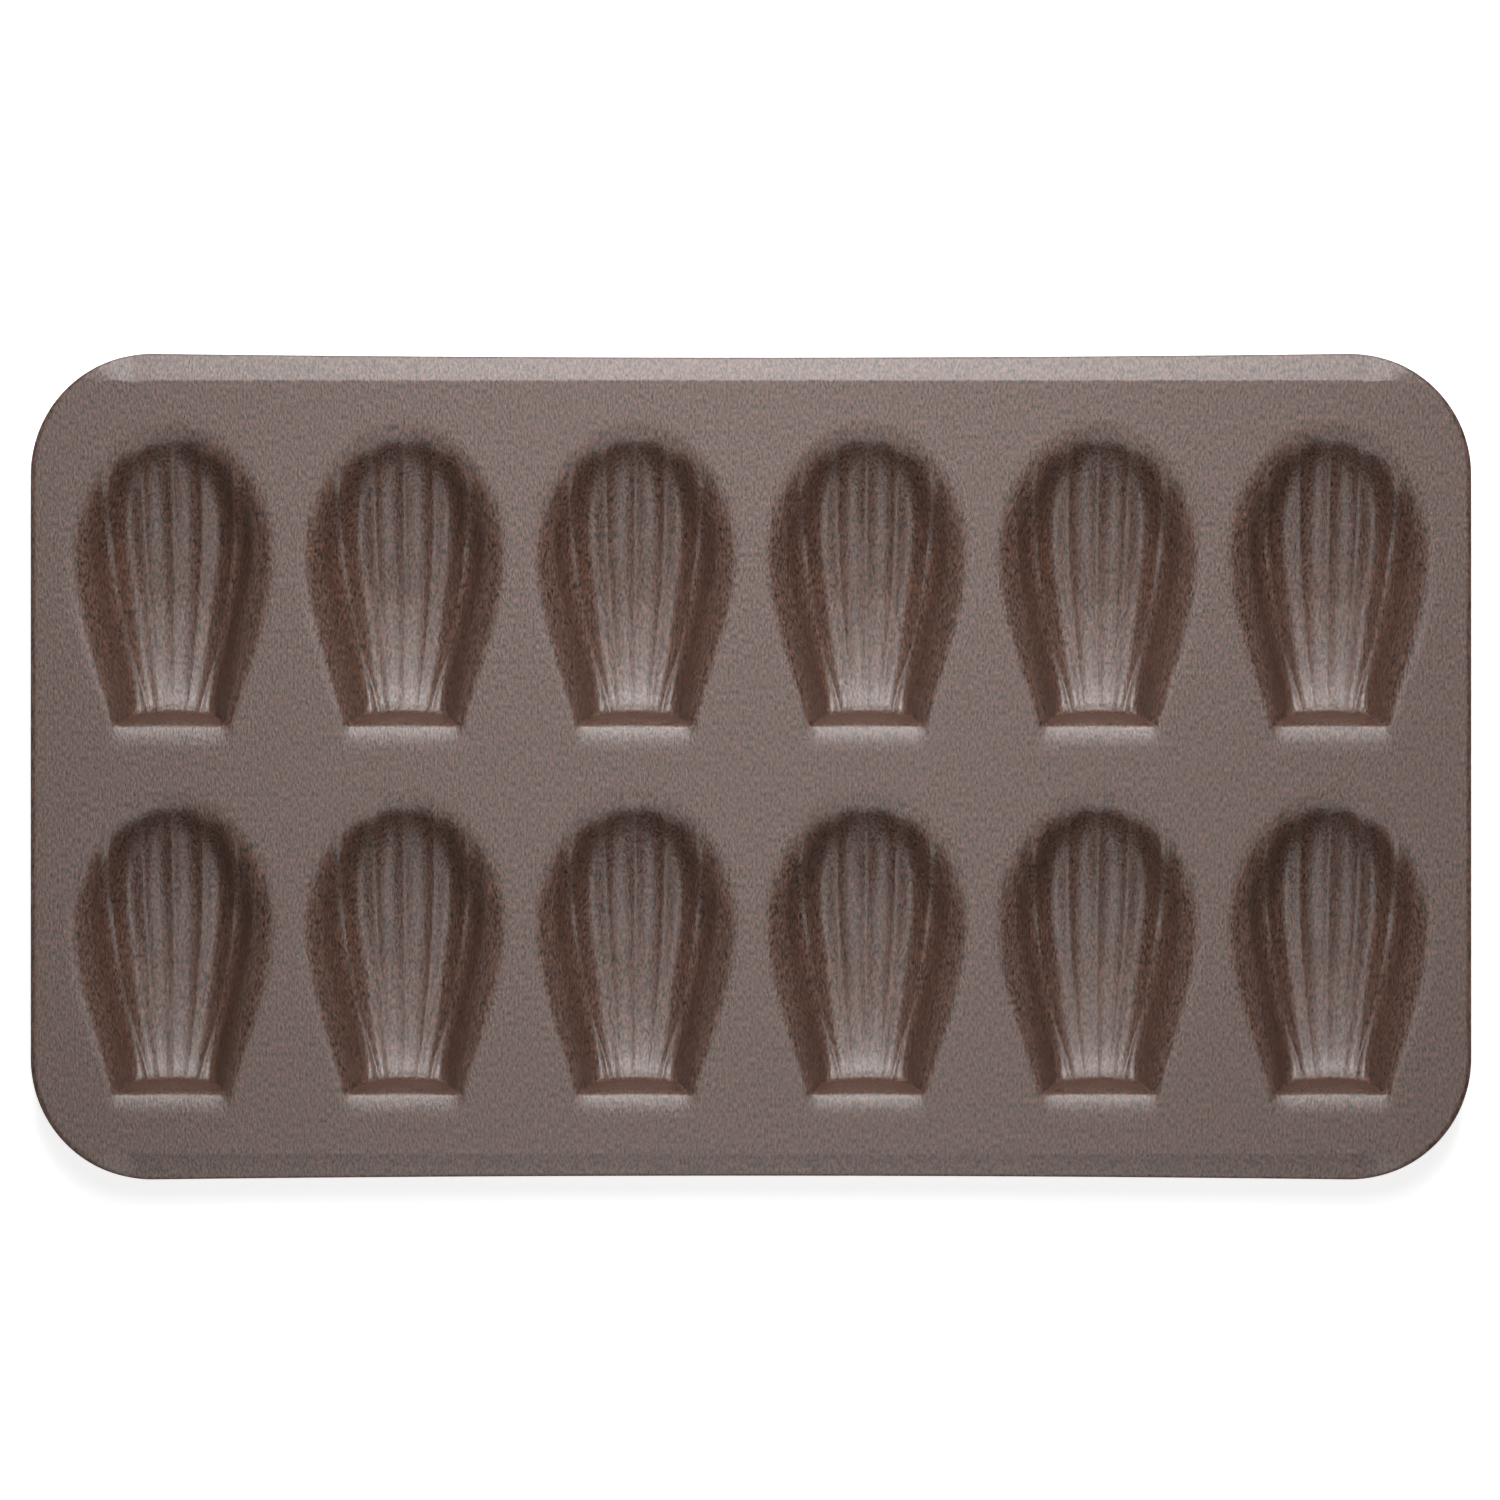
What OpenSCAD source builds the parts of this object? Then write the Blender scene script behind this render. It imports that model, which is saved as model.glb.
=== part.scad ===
// Madeleine pan: one thin pressed sheet with fluted shell cups in rows.
// The baking side faces up and the cups hang below the deck. The cups' narrow
// ends point to the front (-Y). The origin is on the surface that the pan
// stands on, under its middle.

/* [Sheet] */
// Thickness of the steel sheet
sheet_t = 0.8; // [0.5:0.1:1.2]

/* [Cup] */
// Length of a cup's mouth, from its narrow end to its wide end
cup_l = 77; // [66:1:96]
// Width of a cup's mouth at its widest
cup_w = 49.2; // [42:0.2:60]
// Width of a cup's mouth at its narrow end
narrow_w = 28.8; // [22:0.2:36]
// Distance of the widest place from the narrow end
widest_at = 45; // [36:1:56]
// Depth of a cup at its deepest, without the ribs
cup_depth = 16; // [14:0.5:18]
// Distance of the deepest place from the narrow end
deepest_at = 32; // [26:1:44]
// How far the floor rises towards the narrow end
near_rise = 3.5; // [1:0.5:6]
// How far the floor rises by the wide end of the mouth
far_rise = 11; // [7:0.5:12]
// Slope of the wall along the sides
side_slope = 64; // [54:1:70]
// Slope of the side walls at the narrow end
narrow_side_slope = 73; // [60:1:76]
// Slope of the wall at the wide end
wide_end_slope = 54; // [44:1:64]
// Slope of the wall at the narrow end
end_slope = 75; // [64:1:78]
// How far outside the mouth the deck starts to bend down
side_roll = 4.5; // [3:0.5:5]
// The same in front of the narrow end
end_roll = 8; // [6:0.5:9]

/* [Flutes] */
// Ribs on each side of the middle rib
side_ribs = 3; // [2:1:3]
// Distance between ribs at the narrow end
narrow_pitch = 3.15; // [2.8:0.05:4]
// Distance between ribs at the wide end
wide_pitch = 8; // [6.4:0.1:8.2]
// Length over which the ribs spread apart
fan_l = 70; // [56:1:80]
// Height of an outer rib at the narrow end
narrow_rib = 0.8; // [0.2:0.1:1.4]
// Height of an outer rib at the wide end
wide_rib = 2.6; // [1:0.1:3]
// Height of the middle ribs over that of the outer ones
middle_share = 0.45; // [0.2:0.05:1]

/* [Layout] */
// Number of cup columns
cup_cols = 6; // [1:1:6]
// Number of cup rows
cup_rows = 2; // [1:1:2]
// Gap between the mouths of two columns
col_gap = 12; // [11:0.5:20]
// Gap between the mouths of two rows
row_gap = 20.2; // [16:0.2:30]
// Deck and rim beyond the outer columns
side_margin = 12.4; // [11:0.2:24]
// Deck and rim in front of the front row
front_margin = 23; // [20:0.5:36]
// Deck and rim behind the back row
back_margin = 20.8; // [17:0.2:36]

/* [Rim] */
// Radius of the pan's corners
corner_r = 32; // [26:1:44]
// Width of the flange on the long sides
flange_w = 7.4; // [6.4:0.2:9]
// Slope of that flange
flange_slope = 20; // [10:1:36]
// Radius of the bend between deck and flange
bend_r = 2.5; // [1.5:0.1:4]
// Width of the lip round the ends
lip_w = 3.7; // [3.1:0.1:5]
// Radius of the lip's turn
lip_r = 3; // [1.8:0.1:3]
// Angle that the lip turns down
lip_turn = 50; // [40:1:80]
// How far the long edges are drawn in at their middle
edge_waist = 1; // [0:0.1:2]
// Where the flange starts to fade, as an angle round the corner
fade_from = 8; // [0:1:20]
// Where the flange has faded out
fade_to = 34; // [24:1:60]

/* [Hidden] */
// Facets of the formed shells
cuts_per_flute = 3;
side_cuts = 4;
far_cuts = 7;
corner_cuts = 9;
flange_cuts = 12;
bend_cuts = 2;
lip_cuts = 4;

// How soon the sides spread from the narrow end
side_bow = 1.2;
// Depth at which a rib has half of its height
rib_fade = 2.2;
// Bends between deck and wall: how far inside the mouth they end, and their power
side_bend = 4.5;
narrow_bend = 3.2;
narrow_roll = 2.8;
side_power = 2;
end_bend = 1.8;
end_bend_at = 0.5;
end_power = 1.5;
// Gentle slope in front of the narrow end's wall
gentle_slope = 22;
gentle_power = 1.7;
// How soon the narrow end's steeper side walls give way to the others
narrow_power = 1.3;
// Rise of the floor at the foot of the narrow end's wall
foot_rise = 1.3;
foot_at = 4.2;
foot_reach = 3;
foot_arch = 0.35;
// Sharpness of the corners at the foot of the walls
foot_sharp = 10;
side_sharp = 2.8;
near_sharp = 7;
near_reach = 30;
// Depth of a side wall at which the end wall beside it has half of its depth
corner_softness = 0.8;
// Where the middle ribs give way to the outer ones
outer_from = 0.8;
outer_over = 0.8;
// Where the side line of a cup's shell gives way to its far line
side_end = 80;
// How much the rows close up towards the wide end
row_crowding = 78;
// Step for slopes
probe = 0.02;

// Sizes that follow
col_pitch = cup_w + col_gap;
row_pitch = cup_l + row_gap;
pan_l = (cup_cols - 1) * col_pitch + cup_w + 2 * side_margin;
pan_w = (cup_rows - 1) * row_pitch + cup_l + front_margin + back_margin;
corner_x = pan_l / 2 - corner_r;
corner_y = pan_w / 2 - corner_r;
far_l = cup_l - widest_at;
shell_half = cup_w / 2 + side_roll;
far_shell = far_l + side_roll;
outer_rib = side_ribs * wide_pitch;

coat = [0.57, 0.5, 0.47];

// Cup form, with x across the cup and t along it from its narrow end

// Zero up to -outer, then a bend until inner, and a straight rise from there on
function rolled(d, outer, inner, power) =
    let (span = outer + inner)
    d <= -outer ? 0
    : d < inner ? pow(d + outer, power + 1) / ((power + 1) * pow(span, power))
    : d - inner + span / (power + 1);

// The lesser of two depths, with a soft corner between them
function softer_of(a, b, sharp) =
    let (less = min(a, b), more = max(a, b))
    less <= 0 ? 0 : less / pow(1 + pow(less / more, sharp), 1 / sharp);

function share(t, span) = min(1, max(0, t / span));

function smooth(v) = v * v * (3 - 2 * v);

function mix(a, b, v) = a + (b - a) * v;

function mouth_half(t) =
    mix(narrow_w, cup_w, pow(sin(90 * share(t, widest_at)), side_bow)) / 2;

// Distance inwards from the mouth's sides and wide end, negative outside
function inset(x, t) =
    let (past = t - widest_at)
    past <= 0 ? mouth_half(t) - abs(x)
    : (1 / norm([x / mouth_half(t), past / far_l]) - 1) * norm([x, past]);

function floor_depth(t) =
    let (back = max(0, deepest_at - t) / deepest_at)
    let (on = max(0, t - deepest_at) / (cup_l - deepest_at))
    let (foot = exp(-max(0, t - foot_at) / foot_reach))
    cup_depth - near_rise * back * back - foot_rise * foot - far_rise * on * on;

function end_wall(x, t) =
    let (arch = 1 + foot_arch * pow(2 * x / narrow_w, 2))
    rolled(t, end_roll, 0, gentle_power) * tan(gentle_slope)
    + rolled(t - end_bend_at, end_bend, end_bend, end_power)
        * (tan(end_slope) * arch - tan(gentle_slope));

function side_wall(x, t) =
    let (narrow = pow(1 - share(t, deepest_at), narrow_power))
    let (wide = pow(share(t - widest_at, far_l), 2))
    let (slope = mix(mix(side_slope, narrow_side_slope, narrow), wide_end_slope, wide))
    let (roll = mix(side_roll, narrow_roll, narrow), bend = mix(side_bend, narrow_bend, narrow))
    rolled(inset(x, t), roll, bend, side_power) * tan(slope);

function flute_pitch(t) = mix(narrow_pitch, wide_pitch, sin(90 * share(t, fan_l)));

function rib_height(x, t) =
    let (place = abs(x) / flute_pitch(t))
    let (outer = smooth(share(place - outer_from, outer_over)))
    let (height = mix(narrow_rib, wide_rib, share(t, cup_l)) * mix(middle_share, 1, outer))
    place > side_ribs + 0.5 ? 0 : height * (1 - abs(sin(180 * place)));

function cup_z(x, t) =
    let (side = side_wall(x, t))
    let (sharp = mix(near_sharp, side_sharp, smooth(share(t, near_reach))))
    let (bowl = softer_of(side, floor_depth(t), sharp))
    let (shown = bowl * bowl / (bowl * bowl + rib_fade * rib_fade))
    let (depth = bowl - shown * rib_height(x, t))
    -softer_of(end_wall(x, t) * side / (side + corner_softness), depth, foot_sharp);

function cup_normal(x, t) =
    let (dx = (cup_z(x + probe, t) - cup_z(x - probe, t)) / (2 * probe))
    let (dt = (cup_z(x, t + probe) - cup_z(x, t - probe)) / (2 * probe))
    [-dx, -dt, 1] / norm([-dx, -dt, 1]);

// Lines along the shell: a rib's line is at its number, and the shell's side
// at side_ribs + 1

function line_angle(line) =
    let (out = abs(line) - side_ribs)
    let (rib_end = asin(outer_rib / shell_half))
    out <= 0 ? asin(abs(line) * wide_pitch / shell_half)
    : rib_end + (side_end - rib_end) * out;

function line_end(line) = widest_at + far_shell * cos(line_angle(line));

function shell_side(t) =
    let (past = max(0, t - widest_at) / far_shell)
    (mouth_half(t) + side_roll) * sqrt(max(0, 1 - past * past));

function line_x(line, t, along) =
    let (out = abs(line) - side_ribs)
    let (rib_x = side_ribs * flute_pitch(t))
    let (spread = out + (1 - out) * pow(along, 4))
    out <= 0 ? line * flute_pitch(t)
    : sign(line) * (rib_x + (shell_side(t) - rib_x) * spread);

side_steps = [for (i = [1:side_cuts]) side_ribs + i / side_cuts];
inner_cuts = side_ribs * cuts_per_flute;
inner_steps = [for (i = [-inner_cuts:inner_cuts]) i / cuts_per_flute];
lines = concat([for (i = [side_cuts - 1:-1:0]) -side_steps[i]], inner_steps, side_steps);

// Rows across the shell: fixed ones over the narrow end's wall, then rows that
// close up towards the wide end
near_rows = [-end_roll, -end_roll / 2, -2, -0.4, 1.6, foot_at, 1.6 * foot_at];
last_near = near_rows[len(near_rows) - 1];
far_rows = [for (i = [1:far_cuts]) sin(row_crowding * i / far_cuts) / sin(row_crowding)];
rows = concat([for (t = near_rows) [t, 0]], [for (s = far_rows) [last_near, s]]);

cup_grid = [
    for (row = rows) [
        for (line = lines)
            let (t = row[0] + (line_end(line) - row[0]) * row[1])
            [line_x(line, t, row[1]), t]
    ]
];

function on_border(i, j) = i == 0 || j == 0 || i == len(rows) - 1 || j == len(lines) - 1;

cup_top = [
    for (i = [0:len(rows) - 1]) [
        for (j = [0:len(lines) - 1])
            let (p = cup_grid[i][j])
            [p[0], p[1], on_border(i, j) ? 0 : cup_z(p[0], p[1])]
    ]
];

cup_under = [
    for (i = [0:len(rows) - 1]) [
        for (j = [0:len(lines) - 1])
            let (p = cup_top[i][j])
            p - sheet_t * (on_border(i, j) ? [0, 0, 1] : cup_normal(p[0], p[1]))
    ]
];

// The pan stands on the lowest points of its cups
deck_z = -min([for (row = cup_under) for (p = row) p[2]]);

// Outline of the shell, once round
cup_outline = concat(
    cup_grid[0],
    [for (i = [1:len(rows) - 2]) cup_grid[i][len(lines) - 1]],
    [for (j = [len(lines) - 1:-1:0]) cup_grid[len(rows) - 1][j]],
    [for (i = [len(rows) - 2:-1:1]) cup_grid[i][0]]
);

function cup_place(col, row) = [
    (col - (cup_cols - 1) / 2) * col_pitch,
    front_margin - pan_w / 2 + row * row_pitch
];

// Rim form

// How much of the flange is left, by the angle round the corner from the long side
function flange_share(turn) = 1 - smooth(share(turn - fade_from, fade_to - fade_from));

// Sheet section: [out, down] and the slope there, from the deck's edge outwards
function section_slopes(slope) = concat(
    [for (i = [0:bend_cuts]) slope * i / bend_cuts],
    [for (i = [0:lip_cuts]) slope + (lip_turn - slope) * i / lip_cuts]
);

function section_point(width, slope, i) =
    let (bend = i <= bend_cuts)
    let (at = section_slopes(slope)[i])
    let (bend_end = bend_r * [sin(slope), 1 - cos(slope)])
    let (lip_start = width - lip_r * (sin(lip_turn) - sin(slope)))
    let (lip_drop = bend_end[1] + (lip_start - bend_end[0]) * tan(slope))
    bend ? bend_r * [sin(at), 1 - cos(at)]
    : [lip_start, lip_drop] + lip_r * [sin(at) - sin(slope), cos(slope) - cos(at)];

section_points = bend_cuts + lip_cuts + 2;

// A station is [edge of the deck, direction outwards, width, slope]
function station_top(station) = [
    for (i = [0:section_points - 1])
        let (p = section_point(station[2], station[3], i))
        let (flat = station[0] + p[0] * station[1])
        [flat[0], flat[1], -p[1]]
];

function station_under(station) =
    let (top = station_top(station))
    let (slopes = section_slopes(station[3]))
    [
        for (i = [0:section_points - 1])
            let (out = sin(slopes[i]) * station[1])
            top[i] - sheet_t * [out[0], out[1], cos(slopes[i])]
    ];

// side is 1 along the back edge and -1 along the front edge
function flange_stations(side) = [
    for (i = [0:flange_cuts])
        let (x = corner_x * (2 * i / flange_cuts - 1))
        let (waist = edge_waist * (1 - pow(x / corner_x, 2)))
        [[x, side * (pan_w / 2 - flange_w)], [0, side], flange_w - waist, flange_slope]
];

// One corner, from the long side round to the short side
function corner_stations(x_side, y_side) = [
    for (i = [0:corner_cuts])
        let (turn = 90 * i / corner_cuts)
        let (left = flange_share(turn))
        let (width = lip_w + (flange_w - lip_w) * left)
        let (out = [x_side * sin(turn), y_side * cos(turn)])
        [[x_side * corner_x, y_side * corner_y] + (corner_r - width) * out, out, width, flange_slope * left]
];

function reversed(list) = [for (i = [len(list) - 1:-1:0]) list[i]];

function end_stations(x_side) =
    concat(corner_stations(x_side, 1), reversed(corner_stations(x_side, -1)));

deck_outline = concat(
    [for (s = reversed(flange_stations(1))) s[0]],
    [for (s = end_stations(-1)) s[0]],
    [for (s = flange_stations(-1)) s[0]],
    [for (s = reversed(end_stations(1))) s[0]]
);

// Shells

// A closed shell between two grids of points, top seen from above
module shell(top, under) {
    n_rows = len(top);
    n_cols = len(top[0]);
    count = n_rows * n_cols;
    middle = (n_cols - 1) / 2;
    corners = [
        for (i = [0:n_rows - 2])
            for (j = [0:n_cols - 2])
                [i * n_cols + j, i * n_cols + j + 1, (i + 1) * n_cols + j + 1, (i + 1) * n_cols + j]
    ];
    // The diagonals mirror about the middle line
    halves = [
        for (c = corners)
            each c[0] % n_cols < middle
                ? [[c[0], c[3], c[2]], [c[0], c[2], c[1]]]
                : [[c[0], c[3], c[1]], [c[1], c[3], c[2]]]
    ];
    border = concat(
        [for (j = [0:n_cols - 2]) j],
        [for (i = [0:n_rows - 2]) i * n_cols + n_cols - 1],
        [for (j = [n_cols - 1:-1:1]) (n_rows - 1) * n_cols + j],
        [for (i = [n_rows - 1:-1:1]) i * n_cols]
    );
    n_border = len(border);
    walls = [
        for (k = [0:n_border - 1])
            let (a = border[k], b = border[(k + 1) % n_border])
            [a, b, b + count, a + count]
    ];
    polyhedron(
        points = concat([for (row = top) each row], [for (row = under) each row]),
        faces = concat(
            halves,
            [for (f = halves) [f[2] + count, f[1] + count, f[0] + count]],
            [for (w = walls) each [[w[0], w[1], w[2]], [w[0], w[2], w[3]]]]
        )
    );
}

module cup(col, row) {
    color(coat)
        translate([each cup_place(col, row), deck_z])
            shell(cup_top, cup_under);
}

// The stations run clockwise seen from above, with their sections outwards
module rim_piece(stations) {
    color(coat)
        translate([0, 0, deck_z])
            shell([for (s = stations) station_top(s)], [for (s = stations) station_under(s)]);
}

module deck() {
    color(coat)
        translate([0, 0, deck_z - sheet_t])
            linear_extrude(sheet_t)
                difference() {
                    polygon(deck_outline);
                    for (col = [0:cup_cols - 1], row = [0:cup_rows - 1])
                        translate(cup_place(col, row))
                            polygon(cup_outline);
                }
}

module back_flange() {
    rim_piece(flange_stations(1));
}

module front_flange() {
    rim_piece(reversed(flange_stations(-1)));
}

module left_rim() {
    rim_piece(reversed(end_stations(-1)));
}

module right_rim() {
    rim_piece(end_stations(1));
}

function cup_name(col, row) = str("cup_", row == 0 ? "front_" : "back_", col + 1);

deck();
back_flange();
front_flange();
left_rim();
right_rim();
for (col = [0:cup_cols - 1], row = [0:cup_rows - 1])
    cup(col, row);
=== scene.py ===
"""Finishes the madeleine pan: the formed sheet, its coating, the stage and the camera."""

from math import asin, cos, exp, hypot, pi, radians, sin, sqrt, tan

import bmesh
import bpy
from bpy.props import FloatProperty, FloatVectorProperty, IntProperty, PointerProperty
from bpy.types import Operator, Panel, PropertyGroup
from mathutils import Matrix, Vector, noise


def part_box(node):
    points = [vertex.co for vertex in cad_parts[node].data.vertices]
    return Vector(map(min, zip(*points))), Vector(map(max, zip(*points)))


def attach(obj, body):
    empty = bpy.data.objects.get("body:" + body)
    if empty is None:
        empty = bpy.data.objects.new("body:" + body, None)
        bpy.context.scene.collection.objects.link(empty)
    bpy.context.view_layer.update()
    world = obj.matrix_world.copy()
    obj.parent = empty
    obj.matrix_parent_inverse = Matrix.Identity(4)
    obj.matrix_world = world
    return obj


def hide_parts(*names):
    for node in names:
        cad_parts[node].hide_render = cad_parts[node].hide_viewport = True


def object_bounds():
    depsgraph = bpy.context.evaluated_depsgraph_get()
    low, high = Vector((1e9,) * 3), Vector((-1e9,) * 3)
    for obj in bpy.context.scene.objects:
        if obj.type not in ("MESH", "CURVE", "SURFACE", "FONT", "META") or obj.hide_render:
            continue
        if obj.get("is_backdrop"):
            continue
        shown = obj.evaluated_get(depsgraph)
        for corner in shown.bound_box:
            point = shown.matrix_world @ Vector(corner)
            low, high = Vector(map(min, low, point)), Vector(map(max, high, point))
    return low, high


bl_info = {
    "name": "Madeleine Pan Finish",
    "version": (1, 0, 0),
    "blender": (4, 5, 0),
    "location": "View3D > Sidebar > Madeleine Pan",
    "description": "Models and finishes a pressed madeleine pan over its construction frame",
    "category": "Object",
}

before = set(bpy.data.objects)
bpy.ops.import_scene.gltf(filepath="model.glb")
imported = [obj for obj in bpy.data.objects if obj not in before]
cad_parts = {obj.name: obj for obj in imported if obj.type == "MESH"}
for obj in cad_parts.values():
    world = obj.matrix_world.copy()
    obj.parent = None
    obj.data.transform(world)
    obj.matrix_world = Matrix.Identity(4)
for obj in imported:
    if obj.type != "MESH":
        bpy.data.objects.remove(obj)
CAD_LOW, CAD_HIGH = (Vector(corner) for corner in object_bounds())

DECK_Z = CAD_HIGH.z
PAN_LENGTH = CAD_HIGH.x - CAD_LOW.x
PAN_WIDTH = CAD_HIGH.y - CAD_LOW.y
CUP_NODES = sorted(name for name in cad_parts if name.startswith("cup_"))
BODY = "root"


# Sizes and finishes


class CupSizes(PropertyGroup):
    """Sizes of one fluted cup"""

    mouth_length: FloatProperty(
        name="Mouth Length", description="From the narrow end of a cup to its wide end",
        default=0.077, min=0, subtype="DISTANCE", unit="LENGTH")
    mouth_width: FloatProperty(
        name="Mouth Width", description="Width of a cup's mouth at its widest",
        default=0.0492, min=0, subtype="DISTANCE", unit="LENGTH")
    narrow_width: FloatProperty(
        name="Narrow Width", description="Width of a cup's mouth at its narrow end",
        default=0.0288, min=0, subtype="DISTANCE", unit="LENGTH")
    widest_at: FloatProperty(
        name="Widest At", description="Distance of the widest place from the narrow end",
        default=0.045, min=0, subtype="DISTANCE", unit="LENGTH")
    side_bow: FloatProperty(
        name="Side Bow", description="How soon the sides spread from the narrow end",
        default=1.2, min=1, max=2)
    depth: FloatProperty(
        name="Depth", description="Depth of a cup at its deepest, without the ribs",
        default=0.01545, min=0, subtype="DISTANCE", unit="LENGTH")
    deepest_at: FloatProperty(
        name="Deepest At", description="Distance of the deepest place from the narrow end",
        default=0.032, min=0, subtype="DISTANCE", unit="LENGTH")
    near_rise: FloatProperty(
        name="Near Rise", description="How far the floor rises towards the narrow end",
        default=0.0028, min=0, subtype="DISTANCE", unit="LENGTH")
    foot_rise: FloatProperty(
        name="Foot Rise", description="Further rise of the floor at the foot of the end wall",
        default=0.0012, min=0, subtype="DISTANCE", unit="LENGTH")
    far_rise: FloatProperty(
        name="Far Rise", description="How far the floor rises by the wide end of the mouth",
        default=0.0135, min=0, subtype="DISTANCE", unit="LENGTH")
    side_slope: FloatProperty(
        name="Side Slope", description="Slope of the walls along the sides",
        default=radians(60), subtype="ANGLE", unit="ROTATION")
    narrow_side_slope: FloatProperty(
        name="Narrow Side Slope", description="Slope of the side walls at the narrow end",
        default=radians(75), subtype="ANGLE", unit="ROTATION")
    wide_end_slope: FloatProperty(
        name="Wide End Slope", description="Slope of the wall at the wide end",
        default=radians(35), subtype="ANGLE", unit="ROTATION")
    end_slope: FloatProperty(
        name="End Slope", description="Slope of the wall at the narrow end",
        default=radians(77), subtype="ANGLE", unit="ROTATION")
    side_roll: FloatProperty(
        name="Side Roll", description="How far outside the mouth the deck starts to bend down",
        default=0.0045, min=0, subtype="DISTANCE", unit="LENGTH")
    end_roll: FloatProperty(
        name="End Roll", description="The same in front of the narrow end",
        default=0.008, min=0, subtype="DISTANCE", unit="LENGTH")


class RibSizes(PropertyGroup):
    """Sizes of the ribs in a cup"""

    side_ribs: IntProperty(
        name="Side Ribs", description="Ribs on each side of the middle rib",
        default=3, min=1, max=3)
    narrow_pitch: FloatProperty(
        name="Narrow Pitch", description="Distance between ribs at the narrow end",
        default=0.0031, min=0, subtype="DISTANCE", unit="LENGTH")
    wide_pitch: FloatProperty(
        name="Wide Pitch", description="Distance between ribs at the wide end",
        default=0.0076, min=0, subtype="DISTANCE", unit="LENGTH")
    second_shift: FloatProperty(
        name="Second Shift", description="How far out the second ribs are moved, in flutes",
        default=0.16, min=0, max=0.3)
    fan_length: FloatProperty(
        name="Fan Length", description="Length over which the ribs spread apart",
        default=0.062, min=0, subtype="DISTANCE", unit="LENGTH")
    narrow_height: FloatProperty(
        name="Narrow Height", description="Height of a rib at the narrow end",
        default=0.0003, min=0, subtype="DISTANCE", unit="LENGTH")
    wide_height: FloatProperty(
        name="Wide Height", description="Height of a rib at the wide end",
        default=0.0024, min=0, subtype="DISTANCE", unit="LENGTH")
    middle_share: FloatProperty(
        name="Middle Share",
        description="Height of the middle ribs over the height of the outer ribs",
        default=0.315, min=0, max=1, subtype="FACTOR")
    crest: FloatProperty(
        name="Crest Roundness", description="How round the crest of a rib is",
        default=0.1, min=0.01, max=1, subtype="FACTOR")
    fade: FloatProperty(
        name="Fade Depth", description="Depth at which a rib has half of its height",
        default=0.003, min=0.0001, subtype="DISTANCE", unit="LENGTH")


class SheetSizes(PropertyGroup):
    """The steel sheet"""

    thickness: FloatProperty(
        name="Thickness", description="Thickness of the steel sheet",
        default=0.0008, min=0.0001, subtype="DISTANCE", unit="LENGTH")


class RimSizes(PropertyGroup):
    """Sizes of the flanges, the lips and the corners"""

    corner_radius: FloatProperty(
        name="Corner Radius", description="Radius of the pan's corners",
        default=0.032, min=0, subtype="DISTANCE", unit="LENGTH")
    flange_width: FloatProperty(
        name="Flange Width", description="Width of the flange on the long sides",
        default=0.0074, min=0, subtype="DISTANCE", unit="LENGTH")
    flange_slope: FloatProperty(
        name="Flange Slope", description="Slope of that flange",
        default=radians(17), subtype="ANGLE", unit="ROTATION")
    bend_radius: FloatProperty(
        name="Bend Radius", description="Radius of the bend between deck and flange",
        default=0.0025, min=0, subtype="DISTANCE", unit="LENGTH")
    lip_width: FloatProperty(
        name="Lip Width", description="Width of the lip round the ends",
        default=0.0037, min=0, subtype="DISTANCE", unit="LENGTH")
    lip_radius: FloatProperty(
        name="Lip Radius", description="Radius of the lip's turn",
        default=0.003, min=0, subtype="DISTANCE", unit="LENGTH")
    lip_turn: FloatProperty(
        name="Lip Turn", description="Angle that the lip turns down",
        default=radians(32), subtype="ANGLE", unit="ROTATION")
    edge_waist: FloatProperty(
        name="Edge Waist", description="How far the long edges are drawn in at their middle",
        default=0.001, min=0, subtype="DISTANCE", unit="LENGTH")
    fade_from: FloatProperty(
        name="Fade From", description="Turn of the corner at which the flange starts to fade",
        default=radians(8), subtype="ANGLE", unit="ROTATION")
    fade_to: FloatProperty(
        name="Fade To", description="Turn of the corner at which the flange has faded out",
        default=radians(34), subtype="ANGLE", unit="ROTATION")


class MeshCuts(PropertyGroup):
    """How finely the pieces are cut into faces"""

    per_flute: IntProperty(
        name="Cuts per Flute", description="Faces across one flute of a cup", default=14, min=4)
    end_rows: IntProperty(
        name="End Rows", description="Rows of faces over the narrow end of a cup",
        default=36, min=8)
    bowl_rows: IntProperty(
        name="Bowl Rows", description="Rows of faces over the rest of a cup",
        default=90, min=20)
    flange: IntProperty(
        name="Flange Cuts", description="Faces along a flange", default=96, min=12)
    corner: IntProperty(
        name="Corner Cuts", description="Faces round one corner", default=40, min=9)
    bend: IntProperty(
        name="Bend Cuts", description="Faces across the bend of the rim, and across the flange",
        default=8, min=2)
    lip: IntProperty(
        name="Lip Cuts", description="Faces across the lip", default=10, min=4)


class CoatLook(PropertyGroup):
    """Color and grain of the coating"""

    color: FloatVectorProperty(
        name="Color", description="Color of the coating",
        subtype="COLOR", size=3, min=0, max=1, default=(0.098, 0.048, 0.032))
    roughness: FloatProperty(
        name="Roughness", description="Roughness of the coating",
        default=0.46, min=0, max=1, subtype="FACTOR")
    satin_ior: FloatProperty(
        name="Satin IOR", description="Strength of the coating's satin reflection",
        default=1.75, min=1, max=3)
    grain_width: FloatProperty(
        name="Grain Width", description="Width of one fleck of the coating's grain",
        default=0.00056, min=0.00001, subtype="DISTANCE", unit="LENGTH")
    grain_stretch: FloatProperty(
        name="Grain Stretch", description="Length of a fleck over its width", default=2.4, min=1)
    grain_contrast: FloatProperty(
        name="Grain Contrast", description="How much the flecks differ in color",
        default=5.4, min=0)


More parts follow.
